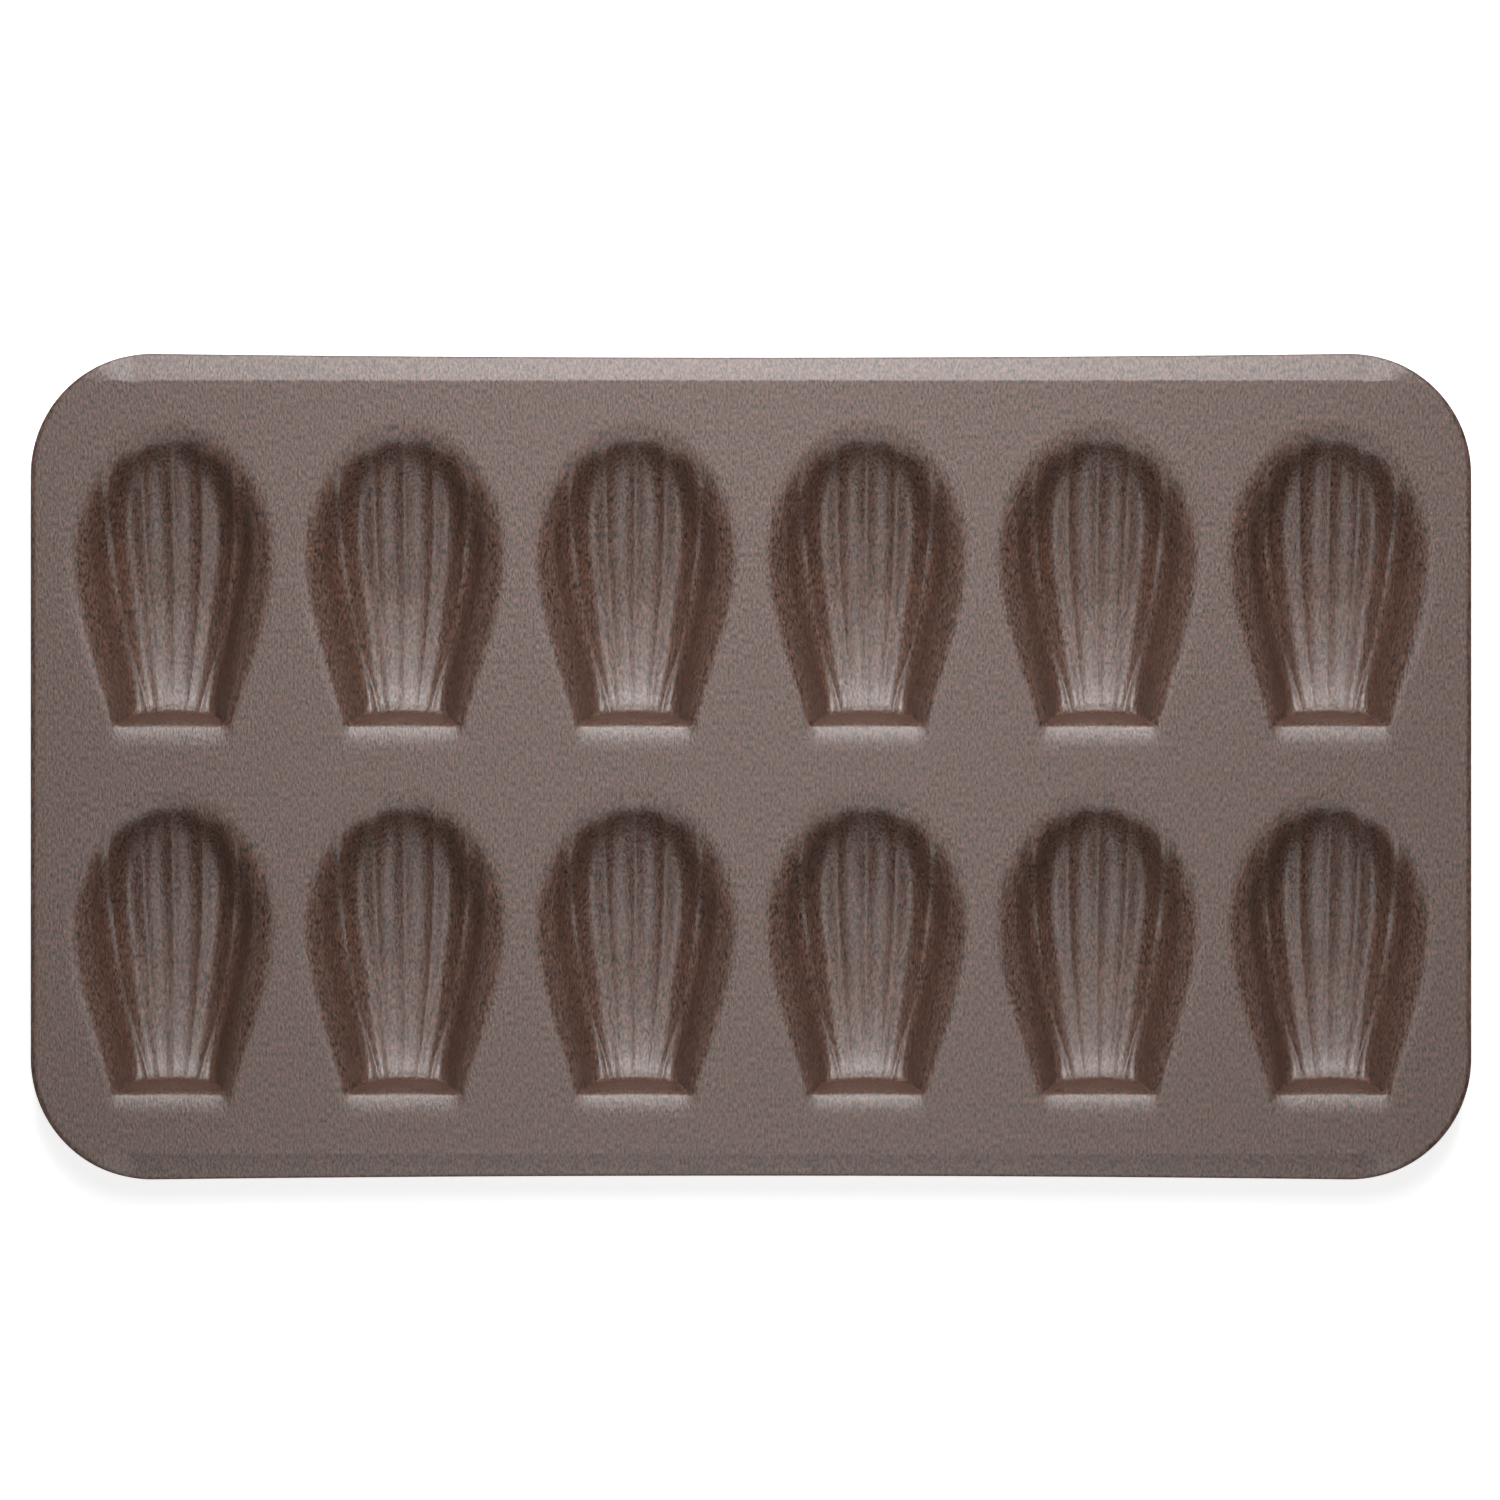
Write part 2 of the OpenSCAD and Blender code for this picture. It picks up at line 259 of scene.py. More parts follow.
class StageLook(PropertyGroup):
    """The table, the view and the strength of the lights"""

    floor_color: FloatVectorProperty(
        name="Floor Color", description="Color of the table",
        subtype="COLOR", size=3, min=0, max=1, default=(0.9, 0.9, 0.9))
    view_width: FloatProperty(
        name="View Width", description="Width of the picture at the deck of the pan",
        default=0.3956, min=0.1, subtype="DISTANCE", unit="LENGTH")
    view_distance: FloatProperty(
        name="View Distance", description="Height of the camera over the deck",
        default=2.4, min=0.3, subtype="DISTANCE", unit="LENGTH")
    view_center: FloatVectorProperty(
        name="View Center", description="Place under the middle of the picture",
        subtype="XYZ", unit="LENGTH", size=2, default=(-0.00026, 0.00438))
    key_power: FloatProperty(
        name="Key Power", description="Power of the light behind the pan", default=1.16, min=0)
    front_power: FloatProperty(
        name="Front Power", description="Power of the light in front of the pan",
        default=0.4, min=0)
    side_power: FloatProperty(
        name="Side Power", description="Power of each low light beside the pan",
        default=0.07, min=0)
    fill_power: FloatProperty(
        name="Fill Power", description="Power of the light that fills from behind the pan",
        default=1.85, min=0)
    world_strength: FloatProperty(
        name="Room Strength", description="Strength of the light from the room",
        default=0.01, min=0)


class PanSettings(PropertyGroup):
    """All the sizes and finishes of the pan"""

    cup: PointerProperty(type=CupSizes)
    rib: PointerProperty(type=RibSizes)
    sheet: PointerProperty(type=SheetSizes)
    rim: PointerProperty(type=RimSizes)
    cuts: PointerProperty(type=MeshCuts)
    coat: PointerProperty(type=CoatLook)
    stage: PointerProperty(type=StageLook)


# Form of a cup, with x across it and t along it from its narrow end

# Floor: the rise at the foot of the end wall, and the curve of the rise to the wide end
FOOT_AT = 0.0042
FOOT_REACH = 0.0026
FOOT_ARCH = 0.75
FAR_CURVE = 1.6

# End wall: a gentle roll down from the deck, and then a short bend to the steep part
GENTLE_SLOPE = radians(20.5)
GENTLE_CURVE = 1.7
END_BEND_AT = 0.0005
END_BEND = 0.0014
END_CURVE = 1.5
LEAST_FOOT_LINE = 0.25

# Side walls: how far the bend reaches inside and outside the mouth, and at the narrow end
SIDE_BEND = 0.0038
NARROW_BEND = 0.0019
NARROW_ROLL = 0.0028
SIDE_CURVE = 2
NARROW_CHANGE = 1.3
WIDE_CHANGE = 1.3

# Corners between floor and walls: a high number is a sharp corner
SIDE_SHARP = 5
NEAR_SHARP = 7
NEAR_REACH = 0.03
FOOT_SHARP = 14
CORNER_SOFTNESS = 0.0008

# Ribs: how they grow along the cup, and from the middle rib to the outer ribs
RIB_FULL = 0.055
RIB_GROWTH = 1.3
RIB_SIDE = 0.5
MIDDLE_GROWS = 0.05
MIDDLE_GROWTH = 0.016
WIDE_MIDDLE = 0.42
OUTER_FROM = 0.8
OUTER_OVER = 0.8
LOSS_FROM = 2.2
LOSS_OVER = 0.8
OUTER_LOSS = 0.25

# Lines of the ribs: where the second ribs move out, and the steps that find a point's line
SECOND_RIB = 2
SHIFT_FROM = 0.006
SHIFT_OVER = 0.016
LINE_STEPS = 8

# Lines beyond the outer ribs: where the last one ends, and how late the rest reach the edge
SIDE_END = radians(80)
SIDE_SPREAD = 4

# Small folds that the press leaves, different in each cup
FOLDS_PER_FLUTE = 1.6
FOLD_LENGTH = 0.018
FOLDS_FROM = 0.05
CALM_FOLD = 0.00012
DEEP_FOLD = 0.0006
SEED_STEP = 10

# Rows of faces: where the narrow end's rows stop, and how the rest crowd at the wide end
NEAR_END = 0.008
ROW_CROWDING = radians(78)


def clamped_share(value, span):
    """The value over the span, kept between 0 and 1."""
    return min(1.0, max(0.0, value / span))


def smooth_share(value):
    """A share from 0 to 1 with a soft start and a soft end."""
    return value * value * (3 - 2 * value)


def rolled(distance, outer, inner, power):
    """Depth of a wall that bends down from -outer on and has a slope of 1 from inner on."""
    span = outer + inner
    if distance <= -outer:
        return 0.0
    if distance < inner:
        return (distance + outer) ** (power + 1) / ((power + 1) * span ** power)
    return distance - inner + span / (power + 1)


def softer_of(a, b, sharpness):
    """The lesser of two depths, with a soft corner between them."""
    if a <= 0 or b <= 0:
        return 0.0
    less, more = min(a, b), max(a, b)
    return less / (1 + (less / more) ** sharpness) ** (1 / sharpness)


class CupForm:
    """The surface of one cup, relative to the deck."""

    def __init__(self, cup, rib, seed=0.0):
        self.cup = cup
        self.rib = rib
        self.seed = seed
        self.far_length = cup.mouth_length - cup.widest_at
        self.far_shell = self.far_length + cup.side_roll
        self.shell_half = cup.mouth_width / 2 + cup.side_roll

    def mouth_half(self, t):
        """Half the mouth's width, without its rounding at the wide end."""
        cup = self.cup
        bow = sin(pi / 2 * clamped_share(t, cup.widest_at)) ** cup.side_bow
        return (cup.narrow_width + (cup.mouth_width - cup.narrow_width) * bow) / 2

    def inset(self, x, t):
        """Distance inwards from the mouth's sides and wide end, negative outside."""
        past = t - self.cup.widest_at
        if past <= 0:
            return self.mouth_half(t) - abs(x)
        ratio = hypot(x / self.mouth_half(t), past / self.far_length)
        return (1 / ratio - 1) * hypot(x, past)

    def foot_line(self, x):
        """How far the foot of the end wall lies from the narrow end, over that in the middle."""
        return 1 - FOOT_ARCH * (2 * x / self.cup.narrow_width) ** 2

    def floor_depth(self, x, t):
        """Depth of the smooth floor, without the ribs."""
        cup = self.cup
        back = max(0.0, cup.deepest_at - t) / cup.deepest_at
        on = max(0.0, t - cup.deepest_at) / (cup.mouth_length - cup.deepest_at)
        foot = exp(-max(0.0, t - FOOT_AT * self.foot_line(x)) / FOOT_REACH)
        near = cup.near_rise * back ** 2
        return cup.depth - near - cup.foot_rise * foot - cup.far_rise * on ** FAR_CURVE

    def end_wall(self, x, t):
        """Depth of the wall at the narrow end, as if it ran on."""
        gentle = rolled(t, self.cup.end_roll, 0, GENTLE_CURVE) * tan(GENTLE_SLOPE)
        steep = rolled(t - END_BEND_AT, END_BEND, END_BEND, END_CURVE)
        arch = 1 / max(LEAST_FOOT_LINE, self.foot_line(x))
        return gentle + steep * (tan(self.cup.end_slope) * arch - tan(GENTLE_SLOPE))

    def side_wall(self, x, t):
        """Depth of the wall along the sides and the wide end, as if it ran on."""
        cup = self.cup
        narrow = (1 - clamped_share(t, cup.deepest_at)) ** NARROW_CHANGE
        wide = clamped_share(t - cup.widest_at, self.far_length) ** WIDE_CHANGE
        slope = cup.side_slope + (cup.narrow_side_slope - cup.side_slope) * narrow
        slope += (cup.wide_end_slope - slope) * wide
        bend = SIDE_BEND - (SIDE_BEND - NARROW_BEND) * narrow
        outer = cup.side_roll - (cup.side_roll - NARROW_ROLL) * narrow
        return rolled(self.inset(x, t), outer, bend, SIDE_CURVE) * tan(slope)

    def flute_pitch(self, t):
        """Distance between the ribs, which fan out to the wide end."""
        rib = self.rib
        fan = sin(pi / 2 * clamped_share(t, rib.fan_length))
        return rib.narrow_pitch + (rib.wide_pitch - rib.narrow_pitch) * fan

    def line_shift(self, line, t):
        """How far out a line is moved, in flutes: most at the second ribs."""
        shift = self.rib.second_shift * smooth_share(clamped_share(t - SHIFT_FROM, SHIFT_OVER))
        return shift * max(0.0, 1 - (line - SECOND_RIB) ** 2) ** 2

    def line_reach(self, line, t):
        """Distance of a line between the outer ribs from the middle line."""
        return (abs(line) + self.line_shift(abs(line), t)) * self.flute_pitch(t)

    def nearest_line(self, x, t):
        """The number of the line that runs through a point, by steps towards it."""
        reach = abs(x) / self.flute_pitch(t)
        line = reach
        for _ in range(LINE_STEPS):
            line = reach - self.line_shift(line, t)
        return line

    def rib_height(self, x, t):
        """Height of the ribs over the valleys between them."""
        rib = self.rib
        place = self.nearest_line(x, t)
        if place > rib.side_ribs + RIB_SIDE:
            return 0.0
        along = clamped_share(t, RIB_FULL) ** RIB_GROWTH
        height = rib.narrow_height + (rib.wide_height - rib.narrow_height) * along
        outer = smooth_share(clamped_share(place - OUTER_FROM, OUTER_OVER))
        grown = smooth_share(clamped_share(t - MIDDLE_GROWS, MIDDLE_GROWTH))
        middle = rib.middle_share
        middle += (WIDE_MIDDLE - middle) * grown
        height *= middle + (1 - middle) * outer
        height *= 1 - OUTER_LOSS * smooth_share(clamped_share(place - LOSS_FROM, LOSS_OVER))
        valley = sqrt(sin(pi * place) ** 2 + rib.crest ** 2) - rib.crest
        return height * (1 - valley / (sqrt(1 + rib.crest ** 2) - rib.crest))

    def z(self, x, t):
        """Height of the surface over the deck, which is 0 or less."""
        side = self.side_wall(x, t)
        along = smooth_share(clamped_share(t, NEAR_REACH))
        sharp = NEAR_SHARP + (SIDE_SHARP - NEAR_SHARP) * along
        bowl = softer_of(side, self.floor_depth(x, t), sharp)
        shown = bowl ** 2 / (bowl ** 2 + self.rib.fade ** 2)
        depth = bowl - shown * (self.rib_height(x, t) + self.press_mark(x, t))
        wall = self.end_wall(x, t) * side / (side + CORNER_SOFTNESS)
        return -softer_of(wall, depth, FOOT_SHARP)

    def press_mark(self, x, t):
        """Small folds of the sheet, which gather on the wall at the wide end."""
        at = Vector((x / self.flute_pitch(t) * FOLDS_PER_FLUTE, t / FOLD_LENGTH, self.seed))
        gathered = smooth_share(clamped_share(t - FOLDS_FROM, self.cup.mouth_length - FOLDS_FROM))
        return noise.noise(at) * (CALM_FOLD + (DEEP_FOLD - CALM_FOLD) * gathered)

    # A rib's line is at its number, and the side of the shell one further out

    def line_angle(self, line):
        """Angle at which a line meets the round edge of the shell at the wide end."""
        out = abs(line) - self.rib.side_ribs
        if out <= 0:
            return asin(self.line_reach(line, self.cup.mouth_length) / self.shell_half)
        rib_end = self.line_angle(self.rib.side_ribs)
        return rib_end + (SIDE_END - rib_end) * out

    def line_end(self, line):
        """How far along the cup a line ends."""
        return self.cup.widest_at + self.far_shell * cos(self.line_angle(line))

    def shell_side(self, t):
        """Distance of the shell's edge from the middle line."""
        past = max(0.0, t - self.cup.widest_at) / self.far_shell
        return (self.mouth_half(t) + self.cup.side_roll) * sqrt(max(0.0, 1 - past ** 2))

    def line_x(self, line, t, along):
        """Distance of a line from the middle line, with its side as its sign."""
        out = abs(line) - self.rib.side_ribs
        side = self.line_reach(min(abs(line), self.rib.side_ribs), t)
        if out > 0:
            side += (self.shell_side(t) - side) * (out + (1 - out) * along ** SIDE_SPREAD)
        return side if line > 0 else -side

    def place(self, line, start, along):
        """The point on a line of the shell, as (x, t)."""
        t = start + (self.line_end(line) - start) * along
        return self.line_x(line, t, along), t


def cup_lines(rib, cuts):
    """Numbers of the lines that run along a cup, from side to side."""
    sides = rib.side_ribs + 1
    count = 2 * sides * cuts.per_flute
    return [2 * sides * i / count - sides for i in range(count + 1)]


def cup_rows(cup, cuts):
    """Rows across a cup, as (start, share of the way to the wide end)."""
    first, last = -cup.end_roll, NEAR_END
    near = [(first + (last - first) * i / cuts.end_rows, 0.0) for i in range(cuts.end_rows + 1)]
    far = [
        (last, sin(ROW_CROWDING * i / cuts.bowl_rows) / sin(ROW_CROWDING))
        for i in range(1, cuts.bowl_rows + 1)
    ]
    return near + far


# Form of the rim

# How much more the flange slopes at its bend, and less at its lip
FLANGE_SAG = 0.12


def flange_share(rim, turn):
    """How much of the flange is left, by the turn round the corner from the long side."""
    return 1 - smooth_share(clamped_share(turn - rim.fade_from, rim.fade_to - rim.fade_from))


def rim_section(rim, cuts, width, slope):
    """Points (out, down) of the sheet's section, from the deck's edge outwards."""
    inner, outer = slope * (1 + FLANGE_SAG), slope * (1 - FLANGE_SAG)
    bend_end = Vector((sin(inner), 1 - cos(inner))) * rim.bend_radius
    lip_reach = rim.lip_radius * (sin(rim.lip_turn) - sin(outer))
    between = width - lip_reach - bend_end.x
    bend = [inner * i / cuts.bend for i in range(cuts.bend + 1)]
    sag = [between * i / cuts.bend for i in range(1, cuts.bend + 1)]
    lip = [outer + (rim.lip_turn - outer) * i / cuts.lip for i in range(1, cuts.lip + 1)]
    easing = tan(outer) - tan(inner)
    points = [Vector((sin(a), 1 - cos(a))) * rim.bend_radius for a in bend]
    points += [
        bend_end + Vector((out, out * tan(inner) + out ** 2 * easing / (2 * between)))
        for out in sag
    ]
    lip_start = points[-1]
    points += [
        lip_start + Vector((sin(a) - sin(outer), cos(outer) - cos(a))) * rim.lip_radius
        for a in lip
    ]
    return points


def flange_stations(rim, cuts, side):
    """Stations (deck edge, outward direction, width, slope) along a long side, to +X."""
    reach = PAN_LENGTH / 2 - rim.corner_radius
    stations = []
    for i in range(cuts.flange + 1):
        x = reach * (2 * i / cuts.flange - 1)
        waist = rim.edge_waist * (1 - (x / reach) ** 2)
        edge = Vector((x, side * (PAN_WIDTH / 2 - rim.flange_width)))
        stations.append((edge, Vector((0, side)), rim.flange_width - waist, rim.flange_slope))
    return stations


def corner_stations(rim, cuts, x_side, y_side):
    """Stations round one corner, from the long side to the short side."""
    center = Vector((x_side * (PAN_LENGTH / 2 - rim.corner_radius),
                     y_side * (PAN_WIDTH / 2 - rim.corner_radius)))
    stations = []
    for i in range(cuts.corner + 1):
        turn = pi / 2 * i / cuts.corner
        left = flange_share(rim, turn)
        width = rim.lip_width + (rim.flange_width - rim.lip_width) * left
        out = Vector((x_side * sin(turn), y_side * cos(turn)))
        stations.append((center + out * (rim.corner_radius - width), out, width,
                         rim.flange_slope * left))
    return stations


def end_stations(rim, cuts, x_side):
    """Stations round one end of the pan, from its back corner to its front corner."""
    back = corner_stations(rim, cuts, x_side, 1)
    front = corner_stations(rim, cuts, x_side, -1)
    return back + front[::-1]


# Meshes

# Edges that turn more than SHARP_FROM stay sharp, and points within SAME_PLACE are one
SHARP_FROM = radians(40)
SAME_PLACE = 0.000001
GRID_HALF = 0.5
SORT_DIGITS = 6
FILL_TURN = radians(20)


def finished_piece(name, mesh_data, nodes, material):
    """Hands a finished bmesh over as a piece that stands for its CAD nodes."""
    mesh = bpy.data.meshes.new(name)
    mesh_data.to_mesh(mesh)
    mesh_data.free()
    mesh.materials.append(material)
    piece = bpy.data.objects.new(name, mesh)
    bpy.context.scene.collection.objects.link(piece)
    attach(piece, BODY)
    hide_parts(*nodes)
    return piece


def sorted_grid(mesh_data, columns, rows):
    """A flat grid, as a list of rows of its vertices in order."""
    bmesh.ops.create_grid(
        mesh_data, x_segments=columns - 1, y_segments=rows - 1, size=GRID_HALF)
    verts = sorted(
        mesh_data.verts,
        key=lambda vert: (round(vert.co.y, SORT_DIGITS), round(vert.co.x, SORT_DIGITS)))
    return [verts[i * columns:(i + 1) * columns] for i in range(rows)]


def thicken(mesh_data, thickness):
    """Turns the upper surface of the sheet into the whole sheet."""
    mesh_data.normal_update()
    downward = [face for face in mesh_data.faces if face.normal.z < 0]
    bmesh.ops.reverse_faces(mesh_data, faces=downward)
    bmesh.ops.solidify(mesh_data, geom=mesh_data.faces[:], thickness=thickness)
    for vert in mesh_data.verts:
        vert.co.z = min(DECK_Z, max(0.0, vert.co.z))
    for face in mesh_data.faces:
        face.smooth = True
    for edge in mesh_data.edges:
        edge.smooth = edge.calc_face_angle(pi) < SHARP_FROM


def cup_place(node, cup):
    """Where a cup's middle line and its narrow end are."""
    low, high = (Vector(corner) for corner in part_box(node))
    return (low.x + high.x) / 2, low.y + cup.end_roll


def model_cup(node, settings, material):
    """One fluted cup, from a flat grid whose lines follow the ribs."""
    form = CupForm(settings.cup, settings.rib, seed=SEED_STEP * (CUP_NODES.index(node) + 1))
    axis_x, narrow_y = cup_place(node, settings.cup)
    lines = cup_lines(settings.rib, settings.cuts)
    rows = cup_rows(settings.cup, settings.cuts)
    shell = bmesh.new()
    grid = sorted_grid(shell, len(lines), len(rows))
    for row_verts, (start, along) in zip(grid, rows):
        for vert, line in zip(row_verts, lines):
            x, t = form.place(line, start, along)
            vert.co = (axis_x + x, narrow_y + t, DECK_Z + form.z(x, t))
    for vert in shell.verts:
        if vert.is_boundary:
            vert.co.z = DECK_Z
    thicken(shell, settings.sheet.thickness)
    return finished_piece(f"{node}_form", shell, [node], material)


def cup_border(form, lines, rows):
    """Points (x, t) round the shell of a cup, once round."""
    first, last = lines[0], lines[-1]
    near = [form.place(line, *rows[0]) for line in lines]
    right = [form.place(last, *row) for row in rows[1:-1]]
    far = [form.place(line, *rows[-1]) for line in reversed(lines)]
    left = [form.place(first, *row) for row in reversed(rows[1:-1])]
    return near + right + far + left


def add_loop(mesh_data, points):
    """A closed loop of edges on the deck. Gives its edges."""
    verts = [mesh_data.verts.new((x, y, DECK_Z)) for x, y in points]
    return [mesh_data.edges.new((a, b)) for a, b in zip(verts, verts[1:] + verts[:1])]


def model_deck(settings, material):
    """The flat sheet between the cups and the rim."""
    rim, cuts = settings.rim, settings.cuts
    stations = flange_stations(rim, cuts, 1) + end_stations(rim, cuts, 1)[1:-1]
    stations += flange_stations(rim, cuts, -1)[::-1] + end_stations(rim, cuts, -1)[::-1][1:-1]
    form = CupForm(settings.cup, settings.rib)
    border = cup_border(form, cup_lines(settings.rib, cuts), cup_rows(settings.cup, cuts))
    sheet = bmesh.new()
    edges = add_loop(sheet, [station[0] for station in stations])
    for node in CUP_NODES:
        axis_x, narrow_y = cup_place(node, settings.cup)
        edges += add_loop(sheet, [(axis_x + x, narrow_y + t) for x, t in border])
    # Points of two cups in one line can mislead the fill, so the sheet is turned for it
    turn = Matrix.Rotation(FILL_TURN, 3, "Z")
    bmesh.ops.rotate(sheet, verts=sheet.verts[:], cent=(0, 0, 0), matrix=turn)
    bmesh.ops.triangle_fill(sheet, use_beauty=True, use_dissolve=False, edges=edges)
    bmesh.ops.rotate(sheet, verts=sheet.verts[:], cent=(0, 0, 0), matrix=turn.inverted())
    thicken(sheet, settings.sheet.thickness)
    return finished_piece("deck_sheet", sheet, ["deck"], material)


def model_rim(node, stations, settings, material):
    """A stretch of the rim, from a flat grid bent down along its stations."""
    rim, cuts = settings.rim, settings.cuts
    section_count = 2 * cuts.bend + cuts.lip + 1
    shell = bmesh.new()
    grid = sorted_grid(shell, section_count, len(stations))
    for row_verts, (edge, out, width, slope) in zip(grid, stations):
        for vert, (reach, drop) in zip(row_verts, rim_section(rim, cuts, width, slope)):
            flat = edge + out * reach
            vert.co = (flat.x, flat.y, DECK_Z - drop)
    bmesh.ops.remove_doubles(shell, verts=shell.verts[:], dist=SAME_PLACE)
    thicken(shell, settings.sheet.thickness)
    return finished_piece(f"{node}_form", shell, [node], material)


# Finish of the coating

FLECK_DETAIL = 2
FLECK_ROUGHNESS = 0.6
MIDDLE_GRAY = 0.5
GRAIN_DEPTH = 0.0001


def grain_group():
    """Fine flecks of metal in the coating, drawn out along the press direction."""
    group = bpy.data.node_groups.new("coating_grain", "ShaderNodeTree")
    for label in ("Width", "Stretch", "Contrast"):
        group.interface.new_socket(label, in_out="INPUT", socket_type="NodeSocketFloat")
    for label in ("Shade", "Height"):
        group.interface.new_socket(label, in_out="OUTPUT", socket_type="NodeSocketFloat")
    nodes, links = group.nodes, group.links
    inputs = nodes.new("NodeGroupInput")
    outputs = nodes.new("NodeGroupOutput")
    coords = nodes.new("ShaderNodeTexCoord")
    apart = nodes.new("ShaderNodeSeparateXYZ")
    squeezed = nodes.new("ShaderNodeMath")
    squeezed.operation = "DIVIDE"
    joined = nodes.new("ShaderNodeCombineXYZ")
    per_width = nodes.new("ShaderNodeMath")
    per_width.operation = "DIVIDE"
    per_width.inputs[0].default_value = 1
    flecks = nodes.new("ShaderNodeTexNoise")
    flecks.inputs["Detail"].default_value = FLECK_DETAIL
    flecks.inputs["Roughness"].default_value = FLECK_ROUGHNESS
    centered = nodes.new("ShaderNodeMath")
    centered.operation = "SUBTRACT"
    centered.inputs[1].default_value = MIDDLE_GRAY
    scaled = nodes.new("ShaderNodeMath")
    scaled.operation = "MULTIPLY_ADD"
    scaled.inputs[2].default_value = 1
    links.new(coords.outputs["Object"], apart.inputs[0])
    links.new(apart.outputs["Y"], squeezed.inputs[0])
    links.new(inputs.outputs["Stretch"], squeezed.inputs[1])
    links.new(apart.outputs["X"], joined.inputs["X"])
    links.new(squeezed.outputs[0], joined.inputs["Y"])
    links.new(apart.outputs["Z"], joined.inputs["Z"])
    links.new(inputs.outputs["Width"], per_width.inputs[1])
    links.new(joined.outputs[0], flecks.inputs["Vector"])
    links.new(per_width.outputs[0], flecks.inputs["Scale"])
    links.new(flecks.outputs["Fac"], centered.inputs[0])
    links.new(centered.outputs[0], scaled.inputs[0])
    links.new(inputs.outputs["Contrast"], scaled.inputs[1])
    links.new(scaled.outputs[0], outputs.inputs["Shade"])
    links.new(flecks.outputs["Fac"], outputs.inputs["Height"])
    return group


def coating_material(look):
    """The baked-on champagne-brown metallic coating."""
    material = bpy.data.materials.new("champagne_coating")
    material.use_nodes = True
    nodes, links = material.node_tree.nodes, material.node_tree.links
    shader = nodes["Principled BSDF"]
    shader.inputs["Roughness"].default_value = look.roughness
    shader.inputs["IOR"].default_value = look.satin_ior
    shader.inputs["Specular IOR Level"].default_value = 1
    grain = nodes.new("ShaderNodeGroup")
    grain.node_tree = grain_group()
    grain.inputs["Width"].default_value = look.grain_width
    grain.inputs["Stretch"].default_value = look.grain_stretch
    grain.inputs["Contrast"].default_value = look.grain_contrast
    tint = nodes.new("ShaderNodeVectorMath")
    tint.operation = "SCALE"
    tint.inputs[0].default_value = look.color
    bump = nodes.new("ShaderNodeBump")
    bump.inputs["Strength"].default_value = 1
    bump.inputs["Distance"].default_value = GRAIN_DEPTH
    links.new(grain.outputs["Shade"], tint.inputs["Scale"])
    links.new(tint.outputs[0], shader.inputs["Base Color"])
    links.new(grain.outputs["Height"], bump.inputs["Height"])
    links.new(bump.outputs[0], shader.inputs["Normal"])
    return material


def coating(settings):
    """The coating's material, which all the pieces share."""
    return bpy.data.materials.get("champagne_coating") or coating_material(settings.coat)


# Stage

TABLE_HALF = 3
TABLE_ROUGHNESS = 0.9
TABLE_LIFT = 0.72
SENSOR_WIDTH = 36
CLIP_END = 20

# Lamps, as (name, place, place that it faces, width, height, spread, name of its power)
LAMPS = (
    ("key", (0.02, 0.6, 0.84), (0, 0.08, 0), 0.5, 0.95, radians(60), "key_power"),
    ("front", (0, -0.55, 0.9), (0, -0.08, 0), 0.5, 0.6, radians(80), "front_power"),
    ("side", (-1.1, 0, 0.14), (0, 0, 0.02), 0.9, 0.16, radians(90), "side_power"),
    ("side", (1.1, 0, 0.14), (0, 0, 0.02), 0.9, 0.16, radians(90), "side_power"),
    ("fill", (0.05, 0.6, 0.6), (0, 0, 0), 0.5, 0.5, radians(100), "fill_power"),
)

# This lamp lights the pan, but no reflection shows it
UNSEEN_LAMP = "fill"


def make_floor(look):
    """The pale table, lifted to white for the camera and in reflections alone."""
    table = bmesh.new()
    bmesh.ops.create_grid(table, x_segments=1, y_segments=1, size=TABLE_HALF)
    mesh = bpy.data.meshes.new("table")
    table.to_mesh(mesh)
    table.free()
    floor = bpy.data.objects.new("table", mesh)
    bpy.context.scene.collection.objects.link(floor)
    floor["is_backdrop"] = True
    material = bpy.data.materials.new("pale_table")
    material.use_nodes = True
    nodes, links = material.node_tree.nodes, material.node_tree.links
    shader = nodes["Principled BSDF"]
    shader.inputs["Base Color"].default_value = (*look.floor_color, 1)
    shader.inputs["Roughness"].default_value = TABLE_ROUGHNESS
    shader.inputs["Specular IOR Level"].default_value = 0
    path = nodes.new("ShaderNodeLightPath")
    glossy = nodes.new("ShaderNodeMath")
    glossy.operation = "MAXIMUM"
    seen = nodes.new("ShaderNodeMath")
    seen.operation = "MAXIMUM"
    lift = nodes.new("ShaderNodeMath")
    lift.operation = "MULTIPLY"
    lift.inputs[1].default_value = TABLE_LIFT
    links.new(path.outputs["Is Camera Ray"], glossy.inputs[0])
    links.new(path.outputs["Is Glossy Ray"], glossy.inputs[1])
    links.new(glossy.outputs[0], seen.inputs[0])
    links.new(path.outputs["Is Transmission Ray"], seen.inputs[1])
    links.new(seen.outputs[0], lift.inputs[0])
    shader.inputs["Emission Color"].default_value = (1, 1, 1, 1)
    links.new(lift.outputs[0], shader.inputs["Emission Strength"])
    mesh.materials.append(material)


def add_softbox(name, location, aim, width, height, power, spread):
    """A soft rectangular lamp that faces a place on the table."""
    data = bpy.data.lights.new(name, "AREA")
    data.shape = "RECTANGLE"
    data.size = width
    data.size_y = height
    data.energy = power
    data.spread = spread
    lamp = bpy.data.objects.new(name, data)
    lamp.location = location
    lamp.rotation_euler = (Vector(aim) - lamp.location).to_track_quat("-Z", "Y").to_euler()
    lamp.visible_camera = False
    bpy.context.scene.collection.objects.link(lamp)
    return lamp


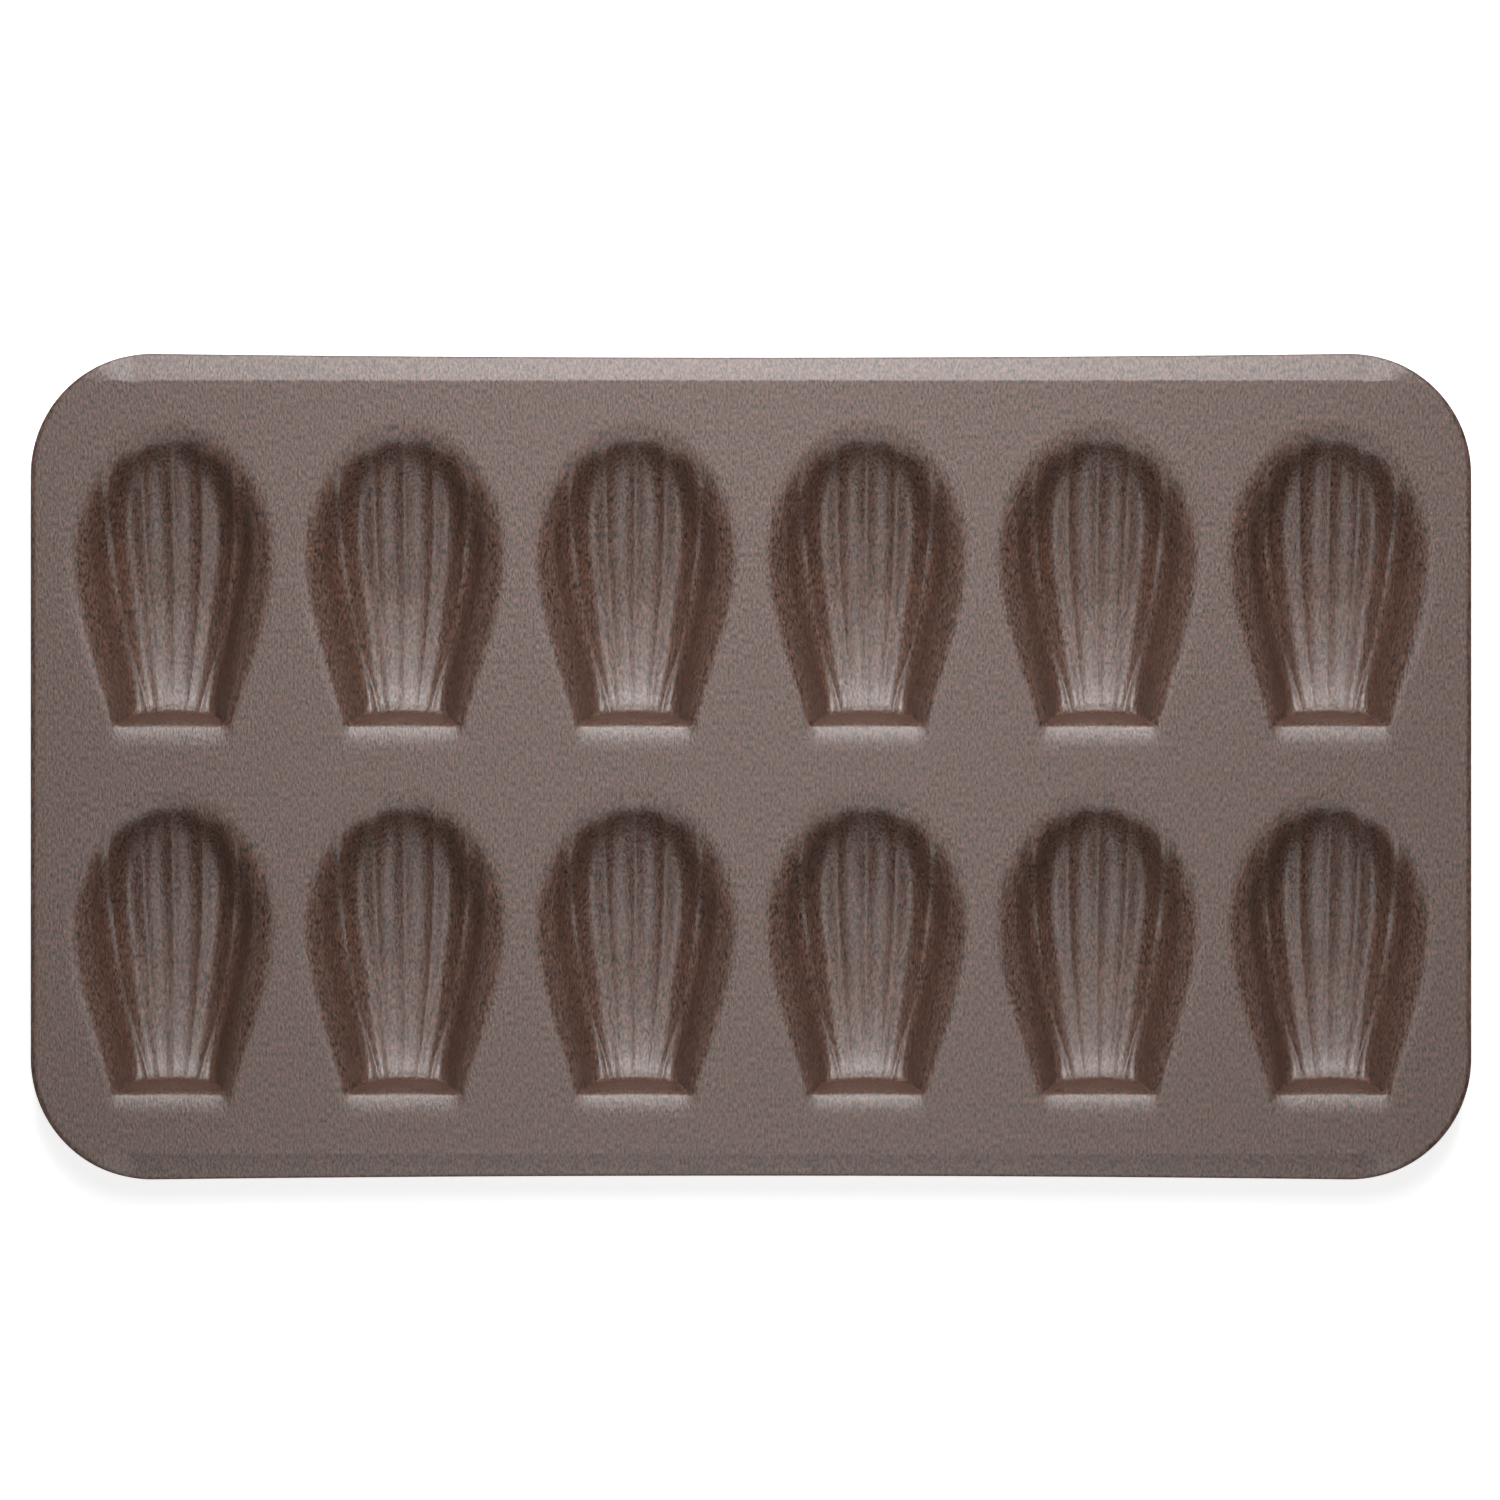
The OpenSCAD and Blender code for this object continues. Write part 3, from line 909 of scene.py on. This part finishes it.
def make_lights(look):
    """The soft lamps round the pan and the faint light of the room."""
    for name, place, aim, width, height, spread, power in LAMPS:
        lamp = add_softbox(name, place, aim, width, height, getattr(look, power), spread)
        lamp.visible_glossy = name != UNSEEN_LAMP
    world = bpy.data.worlds.new("room")
    bpy.context.scene.world = world
    world.use_nodes = True
    background = world.node_tree.nodes["Background"]
    background.inputs["Color"].default_value = (1, 1, 1, 1)
    background.inputs["Strength"].default_value = look.world_strength


def make_camera(look):
    """A camera straight over the pan, far enough off for a nearly flat view."""
    camera_data = bpy.data.cameras.new("camera")
    camera_data.sensor_width = SENSOR_WIDTH
    camera_data.lens = camera_data.sensor_width * look.view_distance / look.view_width
    camera_data.clip_end = CLIP_END
    camera = bpy.data.objects.new("camera", camera_data)
    camera.location = (*look.view_center, DECK_Z + look.view_distance)
    bpy.context.scene.collection.objects.link(camera)
    bpy.context.scene.camera = camera


# Operators


class PAN_OT_cups(Operator):
    """Model the twelve fluted cups"""

    bl_idname = "madeleine_pan.cups"
    bl_label = "Model Cups"

    def execute(self, context):
        settings = context.scene.madeleine_pan
        for node in CUP_NODES:
            model_cup(node, settings, coating(settings))
        return {"FINISHED"}


class PAN_OT_deck(Operator):
    """Model the flat deck between the cups"""

    bl_idname = "madeleine_pan.deck"
    bl_label = "Model Deck"

    def execute(self, context):
        settings = context.scene.madeleine_pan
        model_deck(settings, coating(settings))
        return {"FINISHED"}


class PAN_OT_rim(Operator):
    """Model the flanges and the lips round the pan"""

    bl_idname = "madeleine_pan.rim"
    bl_label = "Model Rim"

    def execute(self, context):
        settings = context.scene.madeleine_pan
        rim, cuts, coat = settings.rim, settings.cuts, coating(settings)
        model_rim("back_flange", flange_stations(rim, cuts, 1), settings, coat)
        model_rim("front_flange", flange_stations(rim, cuts, -1), settings, coat)
        model_rim("left_rim", end_stations(rim, cuts, -1), settings, coat)
        model_rim("right_rim", end_stations(rim, cuts, 1), settings, coat)
        return {"FINISHED"}


class PAN_OT_stage(Operator):
    """Set up the table, the light and the camera"""

    bl_idname = "madeleine_pan.stage"
    bl_label = "Set Up Stage"

    def execute(self, context):
        look = context.scene.madeleine_pan.stage
        make_floor(look)
        make_lights(look)
        make_camera(look)
        context.scene.view_settings.view_transform = "Standard"
        return {"FINISHED"}


class PAN_PT_sidebar(Panel):
    """Sizes, finishes and steps of the madeleine pan"""

    bl_label = "Madeleine Pan"
    bl_idname = "PAN_PT_sidebar"
    bl_space_type = "VIEW_3D"
    bl_region_type = "UI"
    bl_category = "Madeleine Pan"

    def draw(self, context):
        settings = context.scene.madeleine_pan
        for group in ("cup", "rib", "sheet", "rim", "cuts", "coat", "stage"):
            box = self.layout.box()
            values = getattr(settings, group)
            for key in values.__annotations__:
                box.prop(values, key)
        for operator in OPERATORS:
            self.layout.operator(operator.bl_idname)


OPERATORS = (PAN_OT_cups, PAN_OT_deck, PAN_OT_rim, PAN_OT_stage)
CLASSES = (
    CupSizes, RibSizes, SheetSizes, RimSizes, MeshCuts, CoatLook, StageLook, PanSettings,
    *OPERATORS, PAN_PT_sidebar,
)


def register():
    """Registers the classes and gives the scene its settings."""
    for item in CLASSES:
        bpy.utils.register_class(item)
    bpy.types.Scene.madeleine_pan = PointerProperty(type=PanSettings)


def unregister():
    """Takes the settings and the classes away again."""
    del bpy.types.Scene.madeleine_pan
    for item in reversed(CLASSES):
        bpy.utils.unregister_class(item)


def main():
    """Registers the add-on and makes every piece and the stage."""
    register()
    bpy.ops.madeleine_pan.cups()
    bpy.ops.madeleine_pan.deck()
    bpy.ops.madeleine_pan.rim()
    bpy.ops.madeleine_pan.stage()


if __name__ == "__main__":
    main()
